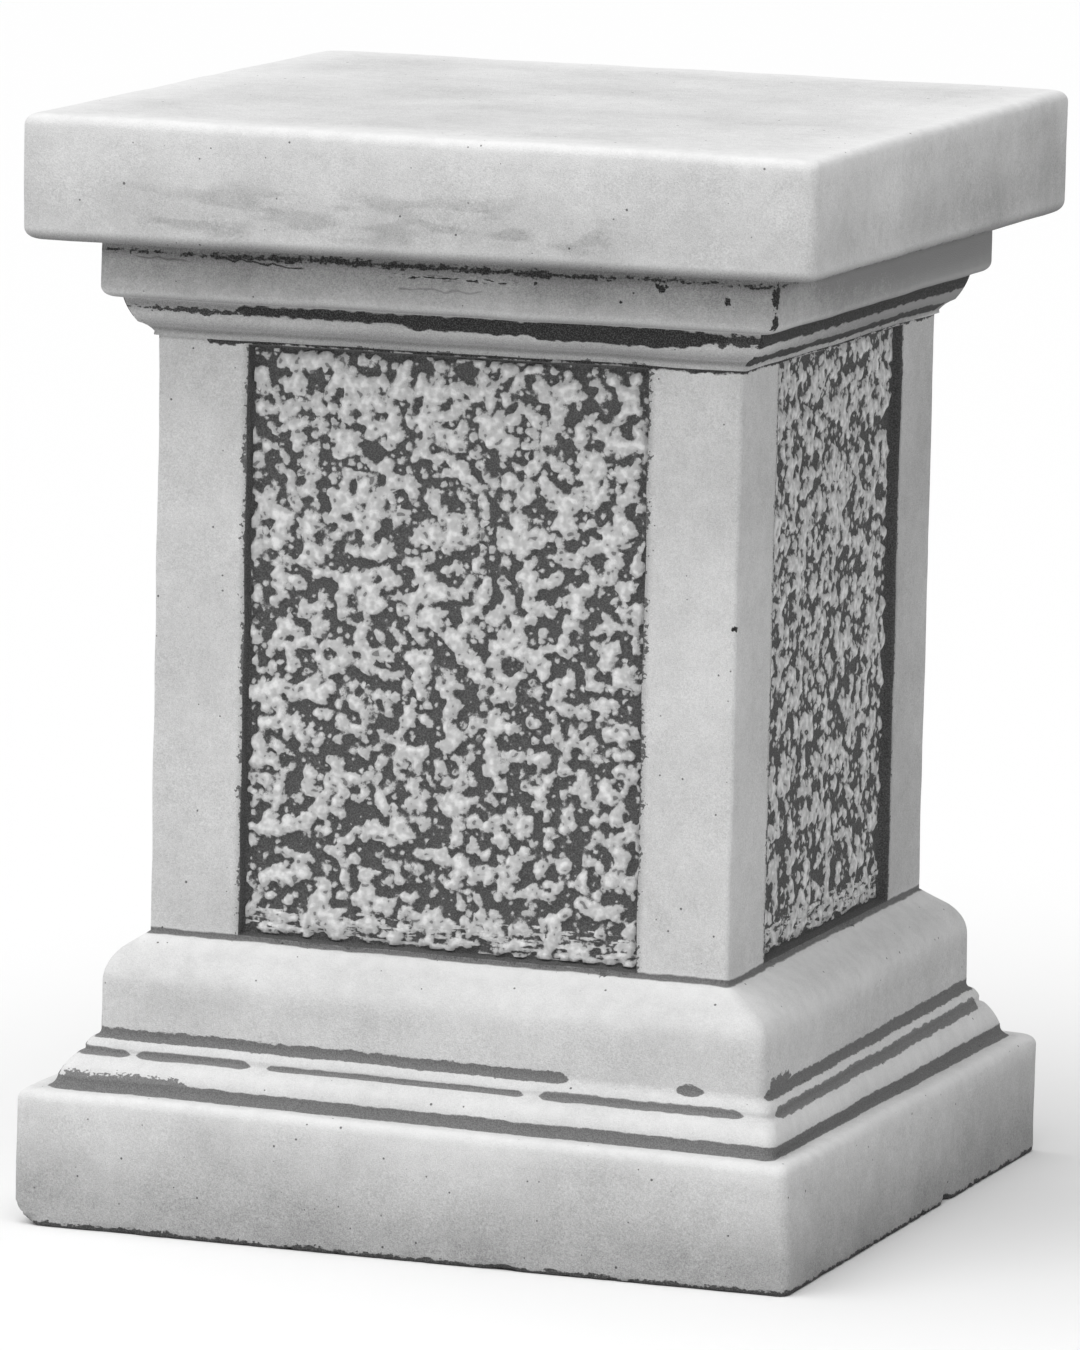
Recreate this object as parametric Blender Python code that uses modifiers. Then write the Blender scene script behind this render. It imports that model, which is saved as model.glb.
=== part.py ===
"""Square garden pedestal of cast stone, in metres, +Z up, origin at the middle of its underside.

One casting: a plinth, a base of two low reeds and a sloping shoulder, a shaft whose four faces carry
sunk roughcast panels between plain corner strips, a small cap moulding under a plain fascia, and a
thick slab on top. The moulding profile is turned once round the axis in four steps, on the diagonal
of the square, so that every member is mitred at the corners.
"""
import math

import bmesh
import bpy
from mathutils import Matrix, Vector, noise

# Widths across the faces, from the ground up
PLINTH_WIDTH = 0.2950
REED_FOOT_WIDTH = 0.2786
REED_HEAD_WIDTH = 0.2504
SHOULDER_WIDTH = 0.2500
SHAFT_WIDTH = 0.2214
CAP_FILLET_WIDTH = 0.2244
CAP_OVOLO_FOOT_WIDTH = 0.2344
CAP_OVOLO_TOP_WIDTH = 0.2430
FASCIA_WIDTH = 0.2552
SLAB_WIDTH = 0.2980

# Heights of the members, from the ground up
PLINTH_HEIGHT = 0.0475
REEDING_HEIGHT = 0.0210
SHOULDER_HEIGHT = 0.0353
SHAFT_HEIGHT = 0.2172
CAP_MOULDING_HEIGHT = 0.0147
FASCIA_HEIGHT = 0.0215
SLAB_THICKNESS = 0.0448

# Rounding of the arrises
SLAB_TOP_ROUNDING = 0.0040
SLAB_FOOT_ROUNDING = 0.0045
FASCIA_ROUNDING = 0.0040
PLINTH_TOP_ROUNDING = 0.0040
PLINTH_FOOT_ROUNDING = 0.0012
SOFFIT_COVE = 0.0020
CORNER_ROUNDING = 0.0040

# Shoulder: a weathered slope, then a broad rounding down to a nearly upright face
SHOULDER_SLOPE_DEG = 34.5
SHOULDER_ROUNDING = 0.0160
SHOULDER_STEPS = 6

# Reeding, measured down the slope between shoulder and plinth
UPPER_GROOVE_WIDTH = 0.0039
UPPER_REED_WIDTH = 0.0036
MIDDLE_GROOVE_WIDTH = 0.0029
LOWER_REED_WIDTH = 0.0094
UPPER_REED_RISE = 0.0003
LOWER_REED_RISE = 0.0005
GROOVE_DEPTH = 0.0008

# Cap moulding under the fascia: a nearly flat ovolo, a hollow below it and a thin fillet
CAP_OVOLO_DROP = 0.0004
CAP_OVOLO_HEIGHT = 0.0093
CAP_OVOLO_BULGE = 0.0005
CAP_HOLLOW_SAG = 0.0004
CAP_FILLET_HEIGHT = 0.0012
FASCIA_FOOT_DEG = -80

# Sunk panels; the two side faces have the narrower ones. Their mortar is two sizes of lump laid over
# each other, and a face's own shift keeps it from repeating its neighbour's lumps
FRONT_PANEL_WIDTH = 0.1520
SIDE_PANEL_WIDTH = 0.1420
PANEL_DEPTH = 0.0040
PANEL_END_MARGIN = 0.0012
PANEL_DRAFT = 0.0008
ROUGHCAST_HEIGHT = 0.0022
ROUGHCAST_LUMP = 0.0110
ROUGHCAST_CELL = 0.0066
ROUGHCAST_BORDER = 0.0030
ROUGHCAST_SOFTNESS = 0.25
SMALL_LUMP_SHARE = 0.5
SMALL_LUMP_RATIO = 2.1
FACE_SHIFT = 7.3

# How finely round stretches are stepped, and how far a cutter runs past the face that it cuts
ARC_STEPS = 4
CORNER_STEPS = 3
CUTTER_OVERRUN = 0.0010
MERGE_DISTANCE = 0.00001

# How jagged a broken spot is, as a share of its radius, and how many jags go round it
CHIP_JAG = 0.25
CHIP_JAG_RATE = 1.7

# Looks of the bare stone
STONE_COLOUR = (0.60, 0.60, 0.595, 1)
STONE_ROUGHNESS = 0.85
SHARP_ABOVE_DEG = 40

# Level of each member's foot
REEDING_FOOT = PLINTH_HEIGHT
SHOULDER_FOOT = REEDING_FOOT + REEDING_HEIGHT
SHAFT_FOOT = SHOULDER_FOOT + SHOULDER_HEIGHT
CAP_FOOT = SHAFT_FOOT + SHAFT_HEIGHT
FASCIA_FOOT = CAP_FOOT + CAP_MOULDING_HEIGHT
SLAB_FOOT = FASCIA_FOOT + FASCIA_HEIGHT
TOTAL_HEIGHT = SLAB_FOOT + SLAB_THICKNESS

# Broken spots along the foot of the plinth: face angle about Z, distance along the face from its
# middle, height of the spot's centre, its radii along, into and up the face, and its seed
PLINTH_CHIPS = (
    ("front_corner_chip", 0, -PLINTH_WIDTH / 2, 0.0010, (0.0090, 0.0070, 0.0060), 3),
    ("front_edge_chip", 0, -0.1050, 0.0, (0.0060, 0.0025, 0.0040), 7),
    ("side_edge_chip", 90, 0.0385, 0.0, (0.0060, 0.0030, 0.0080), 11),
)


def clear_scene():
    for obj in list(bpy.data.objects):
        bpy.data.objects.remove(obj, do_unlink=True)


def new_collection(name):
    collection = bpy.data.collections.new(name)
    bpy.context.scene.collection.children.link(collection)
    return collection


def arc(centre, radius, start_deg, end_deg, steps=ARC_STEPS):
    """Points of a round stretch in the profile plane, both ends included."""
    points = []
    for step in range(steps + 1):
        angle = math.radians(start_deg + (end_deg - start_deg) * step / steps)
        points.append(centre + radius * Vector((math.cos(angle), math.sin(angle))))
    return points


def bowed(start, end, rise, steps=ARC_STEPS):
    """Points down the outer side from start to end, bowed out by rise at their middle."""
    run = end - start
    outward = Vector((-run.y, run.x)).normalized()
    shares = [step / steps for step in range(steps + 1)]
    return [start + run * share + outward * rise * 4 * share * (1 - share) for share in shares]


def slab_profile():
    half = SLAB_WIDTH / 2
    top_centre = Vector((half - SLAB_TOP_ROUNDING, TOTAL_HEIGHT - SLAB_TOP_ROUNDING))
    foot_centre = Vector((half - SLAB_FOOT_ROUNDING, SLAB_FOOT + SLAB_FOOT_ROUNDING))
    top = arc(top_centre, SLAB_TOP_ROUNDING, 90, 0)
    foot = arc(foot_centre, SLAB_FOOT_ROUNDING, 0, -90)
    return [Vector((0, TOTAL_HEIGHT))] + top + foot


def fascia_profile():
    half = FASCIA_WIDTH / 2
    cove_centre = Vector((half + SOFFIT_COVE, SLAB_FOOT - SOFFIT_COVE))
    foot_centre = Vector((half - FASCIA_ROUNDING, FASCIA_FOOT + FASCIA_ROUNDING))
    cove = arc(cove_centre, SOFFIT_COVE, 90, 180, steps=2)
    foot = arc(foot_centre, FASCIA_ROUNDING, 0, FASCIA_FOOT_DEG)
    return cove + foot


def cap_moulding_profile():
    """Ovolo, hollow and fillet between the fascia and the shaft."""
    ovolo_top = Vector((CAP_OVOLO_TOP_WIDTH / 2, FASCIA_FOOT - CAP_OVOLO_DROP))
    ovolo_foot = Vector((CAP_OVOLO_FOOT_WIDTH / 2, ovolo_top.y - CAP_OVOLO_HEIGHT))
    fillet_top = Vector((CAP_FILLET_WIDTH / 2, CAP_FOOT + CAP_FILLET_HEIGHT))
    ovolo = bowed(ovolo_top, ovolo_foot, CAP_OVOLO_BULGE)
    hollow = bowed(ovolo_foot, fillet_top, -CAP_HOLLOW_SAG)
    return ovolo + hollow[1:] + [Vector((fillet_top.x, CAP_FOOT))]


def shaft_profile():
    half = SHAFT_WIDTH / 2
    return [Vector((half, CAP_FOOT)), Vector((half, SHAFT_FOOT))]


def shoulder_profile():
    """The slope is as long as it must be for the rounding to end on the upright face."""
    half = SHOULDER_WIDTH / 2
    centre_x = half - SHOULDER_ROUNDING
    slope = math.radians(SHOULDER_SLOPE_DEG)
    tangent_x = centre_x + SHOULDER_ROUNDING * math.sin(slope)
    tangent_z = SHAFT_FOOT - (tangent_x - SHAFT_WIDTH / 2) * math.tan(slope)
    centre = Vector((centre_x, tangent_z - SHOULDER_ROUNDING * math.cos(slope)))
    return arc(centre, SHOULDER_ROUNDING, 90 - SHOULDER_SLOPE_DEG, 0, SHOULDER_STEPS)


def reeding_profile():
    """Groove, narrow reed, groove, wide reed and groove down the slope onto the plinth."""
    head = Vector((REED_HEAD_WIDTH / 2, SHOULDER_FOOT))
    foot = Vector((REED_FOOT_WIDTH / 2, REEDING_FOOT))
    down = (foot - head).normalized()
    inward = Vector((down.y, -down.x))
    points = [head]
    place = 0.0
    for groove, reed, rise in (
        (UPPER_GROOVE_WIDTH, UPPER_REED_WIDTH, UPPER_REED_RISE),
        (MIDDLE_GROOVE_WIDTH, LOWER_REED_WIDTH, LOWER_REED_RISE),
    ):
        points.append(head + down * (place + groove / 2) + inward * GROOVE_DEPTH)
        place += groove
        points += bowed(head + down * place, head + down * (place + reed), rise)
        place += reed
    last_groove = (head + down * place + foot) / 2 + inward * GROOVE_DEPTH
    return points + [last_groove, foot]


def plinth_profile():
    half = PLINTH_WIDTH / 2
    top_centre = Vector((half - PLINTH_TOP_ROUNDING, PLINTH_HEIGHT - PLINTH_TOP_ROUNDING))
    foot_centre = Vector((half - PLINTH_FOOT_ROUNDING, PLINTH_FOOT_ROUNDING))
    top = arc(top_centre, PLINTH_TOP_ROUNDING, 90, 0)
    foot = arc(foot_centre, PLINTH_FOOT_ROUNDING, 0, -90, steps=1)
    return top + foot + [Vector((0, 0))]


def mitred_body(collection):
    """The whole profile, turned in four steps with its points on the square's diagonal."""
    profile = (
        slab_profile() + fascia_profile() + cap_moulding_profile() + shaft_profile()
        + shoulder_profile() + reeding_profile() + plinth_profile()
    )
    mesh = bpy.data.meshes.new("pedestal_profile")
    points = [(point.x * math.sqrt(2), 0, point.y) for point in profile]
    mesh.from_pydata(points, [(i, i + 1) for i in range(len(points) - 1)], [])
    turned = bpy.data.objects.new("pedestal_profile", mesh)
    collection.objects.link(turned)
    screw = turned.modifiers.new("mitred_square", "SCREW")
    screw.steps = screw.render_steps = 4
    screw.use_merge_vertices = True
    screw.merge_threshold = MERGE_DISTANCE
    screw.use_smooth_shade = False
    bpy.context.view_layer.update()
    evaluated = turned.evaluated_get(bpy.context.evaluated_depsgraph_get())
    body_mesh = bpy.data.meshes.new_from_object(evaluated)
    bpy.data.objects.remove(turned)
    body_mesh.transform(Matrix.Rotation(math.radians(45), 4, "Z"))
    body_mesh.name = "pedestal"
    body = bpy.data.objects.new("pedestal", body_mesh)
    collection.objects.link(body)
    return body


def round_upright_corners(body):
    """Bevels the four mitre lines, from the slab's top to the plinth's foot."""
    bm = bmesh.new()
    bm.from_mesh(body.data)
    mitres = []
    for edge in bm.edges:
        ends = [vert.co for vert in edge.verts]
        on_diagonal = all(abs(abs(co.x) - abs(co.y)) < MERGE_DISTANCE for co in ends)
        if on_diagonal and ends[0].x * ends[1].x > 0 and ends[0].y * ends[1].y > 0:
            mitres.append(edge)
    bmesh.ops.bevel(
        bm, geom=mitres, offset=CORNER_ROUNDING, offset_type="WIDTH", segments=CORNER_STEPS,
        profile=0.5, affect="EDGES", clamp_overlap=True,
    )
    bm.to_mesh(body.data)
    bm.free()


def roughcast(across, up, face):
    """Height of the thrown mortar above the sunk ground: lumps that run into each other."""
    place = Vector((across / ROUGHCAST_LUMP, up / ROUGHCAST_LUMP, face * FACE_SHIFT))
    lump = noise.noise(place) + SMALL_LUMP_SHARE * noise.noise(place * SMALL_LUMP_RATIO)
    share = min(max((lump / ROUGHCAST_SOFTNESS + 1) / 2, 0.0), 1.0)
    return ROUGHCAST_HEIGHT * share * share * (3 - 2 * share)


def panel_cutter(collection, face, width):
    """A block whose inner face is the panel's roughcast ground, for one face of the shaft."""
    foot = SHAFT_FOOT + PANEL_END_MARGIN
    height = SHAFT_HEIGHT - 2 * PANEL_END_MARGIN
    ground = SHAFT_WIDTH / 2 - PANEL_DEPTH
    columns = round(width / ROUGHCAST_CELL)
    rows = round(height / ROUGHCAST_CELL)
    bm = bmesh.new()
    bmesh.ops.create_grid(bm, x_segments=columns, y_segments=rows, size=0.5)
    for vert in bm.verts:
        across = vert.co.x * width
        up = vert.co.y * height
        to_edge = min(width / 2 - abs(across), height / 2 - abs(up))
        fade = min(to_edge / ROUGHCAST_BORDER, 1.0)
        out = ground + fade * roughcast(across, up, face)
        vert.co = Vector((across, -out, foot + height / 2 + up))
    outer = bmesh.ops.extrude_face_region(bm, geom=bm.faces[:])
    flare = PANEL_DRAFT * (PANEL_DEPTH + CUTTER_OVERRUN) / PANEL_DEPTH
    middle = foot + height / 2
    for item in outer["geom"]:
        if isinstance(item, bmesh.types.BMVert):
            item.co.x *= 1 + 2 * flare / width
            item.co.z = middle + (item.co.z - middle) * (1 + flare / height)
            item.co.y = -(SHAFT_WIDTH / 2 + CUTTER_OVERRUN)
    front_cells = [cell for cell in bm.faces if cell.calc_center_median().y < -SHAFT_WIDTH / 2]
    bmesh.ops.dissolve_faces(bm, faces=front_cells)
    bmesh.ops.recalc_face_normals(bm, faces=bm.faces[:])
    bm.transform(Matrix.Rotation(math.radians(90 * face), 4, "Z"))
    return cutter_object(collection, bm, f"panel_cutter_{face}")


def chip_cutter(collection, name, face_deg, along, level, radii, seed):
    """A small jagged lump that breaks a piece out of the plinth's foot."""
    bm = bmesh.new()
    bmesh.ops.create_icosphere(bm, subdivisions=1, radius=1.0)
    for vert in bm.verts:
        vert.co *= 1 + CHIP_JAG * noise.noise(vert.co * CHIP_JAG_RATE + Vector((seed, 0, 0)))
        vert.co = Vector(vert.co[i] * radii[i] for i in range(3))
        vert.co += Vector((along, -PLINTH_WIDTH / 2, level))
    bm.transform(Matrix.Rotation(math.radians(face_deg), 4, "Z"))
    return cutter_object(collection, bm, name)


def cutter_object(collection, bm, name):
    mesh = bpy.data.meshes.new(name)
    bm.to_mesh(mesh)
    bm.free()
    cutter = bpy.data.objects.new(name, mesh)
    cutter.display_type = "WIRE"
    cutter.hide_render = True
    collection.objects.link(cutter)
    return cutter


def cut(body, cutter):
    boolean = body.modifiers.new(cutter.name, "BOOLEAN")
    boolean.operation = "DIFFERENCE"
    boolean.solver = "EXACT"
    boolean.object = cutter


def cast_stone():
    """Pale grey cement with fine aggregate, dry and matt."""
    material = bpy.data.materials.new("cast_stone")
    material.use_nodes = True
    shader = material.node_tree.nodes["Principled BSDF"]
    shader.inputs["Base Color"].default_value = STONE_COLOUR
    shader.inputs["Roughness"].default_value = STONE_ROUGHNESS
    shader.inputs["Metallic"].default_value = 0.0
    return material


clear_scene()
pedestal_parts = new_collection("pedestal")
cutters = new_collection("cutters")
pedestal = mitred_body(pedestal_parts)
round_upright_corners(pedestal)
pedestal.data.shade_smooth()
pedestal.data.set_sharp_from_angle(angle=math.radians(SHARP_ABOVE_DEG))
for face in range(4):
    panel_width = SIDE_PANEL_WIDTH if face % 2 else FRONT_PANEL_WIDTH
    cut(pedestal, panel_cutter(cutters, face, panel_width))
for chip in PLINTH_CHIPS:
    cut(pedestal, chip_cutter(cutters, *chip))
pedestal.data.materials.append(cast_stone())
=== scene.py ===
import math

import bpy
import numpy as np
from mathutils import Matrix, Vector, noise


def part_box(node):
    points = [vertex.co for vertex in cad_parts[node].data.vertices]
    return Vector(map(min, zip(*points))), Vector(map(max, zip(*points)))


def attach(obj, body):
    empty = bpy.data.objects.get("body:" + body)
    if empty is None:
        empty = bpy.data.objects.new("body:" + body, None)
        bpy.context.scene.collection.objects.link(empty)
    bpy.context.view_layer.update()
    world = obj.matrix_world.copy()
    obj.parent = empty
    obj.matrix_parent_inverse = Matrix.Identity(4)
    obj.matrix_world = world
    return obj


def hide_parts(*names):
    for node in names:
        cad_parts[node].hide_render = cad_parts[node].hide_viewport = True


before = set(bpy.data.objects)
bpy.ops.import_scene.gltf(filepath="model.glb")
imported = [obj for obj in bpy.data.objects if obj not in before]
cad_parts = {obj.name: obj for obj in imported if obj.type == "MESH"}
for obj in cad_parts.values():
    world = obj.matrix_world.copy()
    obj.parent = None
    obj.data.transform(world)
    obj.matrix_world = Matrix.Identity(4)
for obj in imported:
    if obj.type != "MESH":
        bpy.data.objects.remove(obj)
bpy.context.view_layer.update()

# Plinth: the plain square foot of the casting, poured into one mould with all the rest. The casting's
# outer side is one profile of stations from the ground up, each with its distance from the middle,
# its level, how much it is rubbed pale and lit by a painted highlight, and whether fine columns cross it.
low_corner, high_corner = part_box("pedestal")
TOTAL_HEIGHT = high_corner.z - low_corner.z
SLAB_HALF = (high_corner.x - low_corner.x) / 2
PLINTH_HALF = 0.1475
PLINTH_HEIGHT = 0.0475
PLINTH_TOP_ROUNDING = 0.0040
PLINTH_FOOT_ROUNDING = 0.0012
RAGGED_FOOT = 0.0104
RAGGED_STEP = 0.0013
FACE_STEP = 0.0060
RING_STEP = 0.0300
INNERMOST_RING = 0.0100


class Profile:
    def __init__(self):
        self.stations = []
        self.marks = {}

    def add(self, points, wear_and_highlight=0.0, fine=False):
        """Adds points after the last one, leaving out a first point that is already there."""
        if self.stations and math.dist(points[0], self.stations[-1][:2]) < 1e-7:
            points = points[1:]
        self.stations += [(half, level, wear_and_highlight, fine) for half, level in points]

    def mark(self, name, back=0):
        """Remembers a station, so that patina and painted shade can be laid along it."""
        self.marks[name] = len(self.stations) - 1 - back

    def run(self):
        """Distance up the profile at each station."""
        points = np.array([station[:2] for station in self.stations])
        return np.concatenate([[0.0], np.cumsum(np.hypot(*np.diff(points, axis=0).T))])


def arc(half, level, radius, start_deg, end_deg, steps=8):
    """Points round part of a circle with its middle at that distance and level."""
    angles = np.radians(np.linspace(start_deg, end_deg, steps + 1))
    return [(half + radius * math.cos(angle), level + radius * math.sin(angle)) for angle in angles]


def bowed(start, end, rise, steps=6):
    """Points from start up to end, bowed out by rise at their middle."""
    start, end = np.array(start), np.array(end)
    run = end - start
    outward = np.array([run[1], -run[0]]) / np.hypot(*run)
    shares = np.linspace(0, 1, steps + 1)
    return [tuple(start + run * share + outward * rise * 4 * share * (1 - share)) for share in shares]


def straight(start, end, longest):
    """Points from start to end, at most so far apart."""
    steps = max(1, math.ceil(math.dist(start, end) / longest - 1e-6))
    return bowed(start, end, 0.0, steps)


profile = Profile()
foot_half = PLINTH_HALF - PLINTH_FOOT_ROUNDING
profile.add(straight((INNERMOST_RING, 0.0), (foot_half, 0.0), RING_STEP))
profile.add(arc(foot_half, PLINTH_FOOT_ROUNDING, PLINTH_FOOT_ROUNDING, -90, 0, 3), fine=True)
profile.mark("foot")
profile.add(
    straight((PLINTH_HALF, PLINTH_FOOT_ROUNDING), (PLINTH_HALF, RAGGED_FOOT), RAGGED_STEP), fine=True
)
plinth_arris = PLINTH_HEIGHT - PLINTH_TOP_ROUNDING
profile.add(straight((PLINTH_HALF, RAGGED_FOOT), (PLINTH_HALF, plinth_arris), FACE_STEP))
profile.add(arc(PLINTH_HALF - PLINTH_TOP_ROUNDING, plinth_arris, PLINTH_TOP_ROUNDING, 0, 90), wear_and_highlight=1.0)

# Reeding: a wide and a narrow reed lie on the slope from the plinth up to the shoulder, with a
# groove below, between and above them. Dirt has settled in the grooves, and the reeds are rubbed pale and
# carry a painted highlight.
REED_FOOT = (0.1393, PLINTH_HEIGHT)
REED_HEAD = (0.1252, 0.0685)
GROOVE_DEPTH = 0.0008
# From the plinth up: name, width up the slope, and how far it stands out at its middle
REEDING = (
    ("groove_3", 0.0053, -GROOVE_DEPTH),
    ("wide_reed", 0.0094, 0.0005),
    ("groove_2", 0.0029, -GROOVE_DEPTH),
    ("narrow_reed", 0.0036, 0.0003),
    ("groove_1", 0.0039, -GROOVE_DEPTH),
)
reeding_width = sum(width for _, width, _ in REEDING)
place = 0.0
for name, width, rise in REEDING:
    ends = []
    for share in (place / reeding_width, (place + width) / reeding_width):
        ends.append(tuple(np.array(REED_FOOT) * (1 - share) + np.array(REED_HEAD) * share))
    profile.add(bowed(*ends, rise), wear_and_highlight=0.8 if rise > 0 else 0.0)
    profile.mark(name, back=3)
    place += width

# Shoulder: a nearly upright face, a broad rounding, then a weathered slope up to the shaft's foot. The
# rounding and the slope are rubbed pale and carry a painted highlight.
SHOULDER_HALF = 0.1250
SHOULDER_ROUNDING = 0.0160
SHOULDER_SLOPE_DEG = 34.5
SHOULDER_FACE_STEP = 0.0045
SHOULDER_SLOPE_STEP = 0.0030
SHAFT_HALF = 0.1107
SHAFT_FOOT = 0.1038
slope = math.radians(SHOULDER_SLOPE_DEG)
rounding_half = SHOULDER_HALF - SHOULDER_ROUNDING
tangent_half = rounding_half + SHOULDER_ROUNDING * math.sin(slope)
tangent_level = SHAFT_FOOT - (tangent_half - SHAFT_HALF) * math.tan(slope)
rounding_level = tangent_level - SHOULDER_ROUNDING * math.cos(slope)
profile.add(straight(REED_HEAD, (SHOULDER_HALF, rounding_level), SHOULDER_FACE_STEP))
profile.add(arc(rounding_half, rounding_level, SHOULDER_ROUNDING, 0, 90 - SHOULDER_SLOPE_DEG, 10), wear_and_highlight=0.6)
profile.add(
    straight((tangent_half, tangent_level), (SHAFT_HALF, SHAFT_FOOT), SHOULDER_SLOPE_STEP), wear_and_highlight=1.0
)
profile.mark("shaft_foot")

# Shaft: four plain corner strips and, between them on each face, a sunk panel that runs the whole
# height. The rows and columns are close where a panel's edge drops to its ground.
CAP_FOOT = 0.3210
SHAFT_CORNER_ROUNDING = 0.0016
# Half widths of the panels at the front, right, back and left, and the steps of their columns
PANEL_HALVES = (0.0760, 0.0710, 0.0760, 0.0710)
PANEL_STEPS = (0.00125, 0.0016, 0.0017, 0.0019)
PANEL_ROW_STEP = 0.0014
PANEL_END_MARGIN = 0.0012
PANEL_DEPTH = 0.0040
# A panel's edge drops to its ground over REVEAL_RUN, and has columns and rows at these places
REVEAL_RUN = 0.0009
EDGE_OFFSETS = (-0.0005, 0.0, 0.0003, 0.0006, 0.0009, 0.0017)


def across_panel(first, last, step):
    """Places from one panel edge to the other: close at both edges, evenly spaced between them."""
    inner = last - first - 2 * EDGE_OFFSETS[-1]
    count = round(inner / step)
    middle = [first + EDGE_OFFSETS[-1] + inner * i / count for i in range(1, count)]
    return [first + o for o in EDGE_OFFSETS] + middle + [last - o for o in reversed(EDGE_OFFSETS)]


panel_foot = SHAFT_FOOT + PANEL_END_MARGIN
panel_head = CAP_FOOT - PANEL_END_MARGIN
rows = across_panel(panel_foot, panel_head, PANEL_ROW_STEP)
profile.add([(SHAFT_HALF, level) for level in rows], fine=True)
profile.add([(SHAFT_HALF, CAP_FOOT)])
profile.mark("cap_foot")

# Cap moulding: a thin fillet, a hollow and a nearly flat ovolo that runs in under the fascia, where
# dark patina has stayed.
CAP_FILLET = (0.1122, 0.3222)
OVOLO_FOOT = (0.1172, 0.3260)
OVOLO_TOP = (0.1215, 0.3353)
OVOLO_BULGE = 0.0005
CAP_HOLLOW_SAG = 0.0004
profile.add([(CAP_FILLET[0], CAP_FOOT), CAP_FILLET], wear_and_highlight=0.1)
profile.add(bowed(CAP_FILLET, OVOLO_FOOT, -CAP_HOLLOW_SAG, 4))
profile.mark("cap_hollow", back=2)
profile.add(bowed(OVOLO_FOOT, OVOLO_TOP, OVOLO_BULGE, 8))
profile.mark("ovolo_top")

# Fascia: the plain band under the slab, with a rounded foot and a small cove up to the soffit.
FASCIA_HALF = 0.1276
FASCIA_FOOT = 0.3357
FASCIA_ROUNDING = 0.0040
FASCIA_STEP = 0.0040
SLAB_FOOT = 0.3572
SOFFIT_COVE = 0.0020
fascia_arris = FASCIA_FOOT + FASCIA_ROUNDING
cove_foot = SLAB_FOOT - SOFFIT_COVE
profile.add(arc(FASCIA_HALF - FASCIA_ROUNDING, fascia_arris, FASCIA_ROUNDING, -80, 0), wear_and_highlight=0.2)
profile.mark("fascia_foot", back=7)
profile.add(straight((FASCIA_HALF, fascia_arris), (FASCIA_HALF, cove_foot), FASCIA_STEP))
profile.add(arc(FASCIA_HALF + SOFFIT_COVE, cove_foot, SOFFIT_COVE, 180, 90, 6))
profile.mark("soffit", back=3)

# Slab: the thick square top, plain all round, with soft arrises that have been rubbed pale and carry a
# painted highlight.
SLAB_FOOT_ROUNDING = 0.0045
SLAB_TOP_ROUNDING = 0.0040
slab_foot_half = SLAB_HALF - SLAB_FOOT_ROUNDING
slab_top_half = SLAB_HALF - SLAB_TOP_ROUNDING
slab_arris = TOTAL_HEIGHT - SLAB_TOP_ROUNDING
slab_foot_level = SLAB_FOOT + SLAB_FOOT_ROUNDING
profile.add(straight((FASCIA_HALF + SOFFIT_COVE, SLAB_FOOT), (slab_foot_half, SLAB_FOOT), FACE_STEP))
profile.add(arc(slab_foot_half, slab_foot_level, SLAB_FOOT_ROUNDING, -90, 0), wear_and_highlight=0.2)
profile.mark("slab_foot", back=4)
profile.add(straight((SLAB_HALF, slab_foot_level), (SLAB_HALF, slab_arris), FACE_STEP))
profile.add(arc(slab_top_half, slab_arris, SLAB_TOP_ROUNDING, 0, 90), wear_and_highlight=1.0)
profile.add(straight((slab_top_half, TOTAL_HEIGHT), (INNERMOST_RING, TOTAL_HEIGHT), RING_STEP))

# Casting: each station becomes a ring round a square with rounded corners, and the rings are
# joined into one closed skin. Panels are sunk as they are laid, and the broken spots along the
# plinth's foot and the slump and lean of the casting are worked in at the end.
SHAFT_SIDE = SHAFT_HALF - SHAFT_CORNER_ROUNDING
CORNER_SEGMENTS = 5
COARSE_STEP = 0.0058
STRIP_COLUMNS = 4
# Distances from a panel's border are kept within this on both sides of it
DEEPEST_INSIDE = 0.0300
# How far the rubbing and painted highlight of an arris fade out over the faces beside it
WEAR_HIGHLIGHT_FADE = 0.0030
# Rounding of the four corners at each level: crisp on the shaft, softer below and above it
CORNER_ROUNDINGS = (
    (SHAFT_FOOT - 0.0040, 0.0040),
    (SHAFT_FOOT, SHAFT_CORNER_ROUNDING),
    (CAP_FOOT, SHAFT_CORNER_ROUNDING),
    (CAP_FOOT + 0.0030, 0.0035),
    (SLAB_FOOT, 0.0040),
)
# Broken spots: face (0 front, 1 right, 2 back, 3 left), distance along it, level, and radii along,
# into and up it. Each is deepest at its middle, and none reaches above HIGHEST_CHIP.
HIGHEST_CHIP = 0.0120
CHIPS = (
    (3, 0.1475, 0.0000, (0.0450, 0.0100, 0.0100)),
    (0, -0.1475, 0.0000, (0.0150, 0.0040, 0.0090)),
    (0, -0.1050, 0.0000, (0.0110, 0.0045, 0.0060)),
    (0, 0.0400, 0.0000, (0.0120, 0.0030, 0.0036)),
    (1, 0.0385, 0.0000, (0.0080, 0.0055, 0.0110)),
    (2, 0.0620, 0.0000, (0.0090, 0.0036, 0.0052)),
)
# Slump: at each level, how far the casting stands above its nominal level at its corners, from
# the left front corner round to the left back one
SLUMP = (
    (0.0000, (0.0000, 0.0000, 0.0000, 0.0000)),
    (0.0475, (0.0018, -0.0009, -0.0019, 0.0000)),
    (0.0685, (0.0015, -0.0010, -0.0007, 0.0004)),
    (0.1038, (0.0007, -0.0011, -0.0004, 0.0001)),
    (0.3210, (0.0002, 0.0010, -0.0005, 0.0000)),
    (0.3572, (0.0000, 0.0007, -0.0005, 0.0000)),
    (0.4020, (0.0002, -0.0006, 0.0002, 0.0003)),
)
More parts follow.
